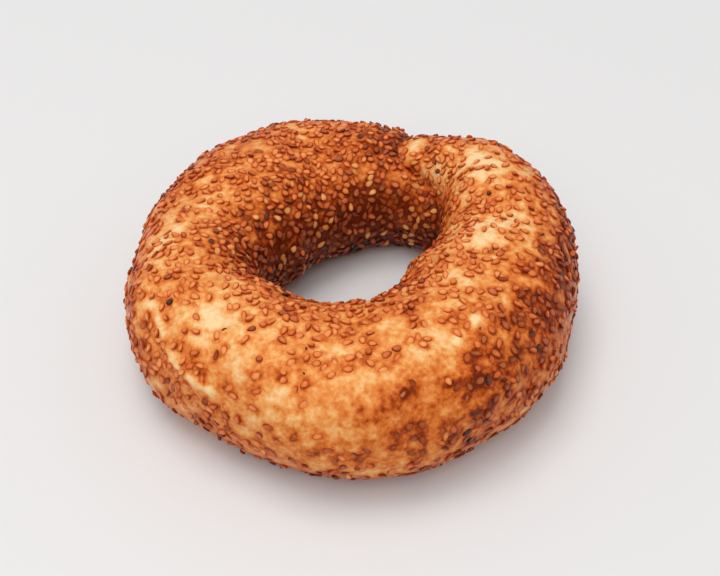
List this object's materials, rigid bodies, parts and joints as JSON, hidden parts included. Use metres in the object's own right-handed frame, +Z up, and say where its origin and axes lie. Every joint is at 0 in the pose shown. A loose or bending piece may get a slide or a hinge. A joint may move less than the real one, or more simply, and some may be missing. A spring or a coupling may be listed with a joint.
{
  "type": "simit",
  "caption": "Ring-shaped bread of one thick rope of dough, its ends lapped in a slanting crease, with a flat base, an open middle and a crust covered in sesame seed.",
  "frame": {"origin": "on the surface that the bread rests on, below the middle of its outer box", "axes": "+Z up, +X to the right and +Y away from the front, with the join of the rope at the far right"},
  "size_m": [0.1364, 0.1437, 0.0437],
  "materials": {
    "crust": "baked dough, golden brown and mottled, with cream where it is palest, a soft sheen and small blisters",
    "sesame": "toasted sesame seed, reddish brown with darker edges, glossy, a few seeds cream or burnt dark"
  },
  "bodies": {
    "root": {"simit": "crust"}
  },
  "joints": []
}
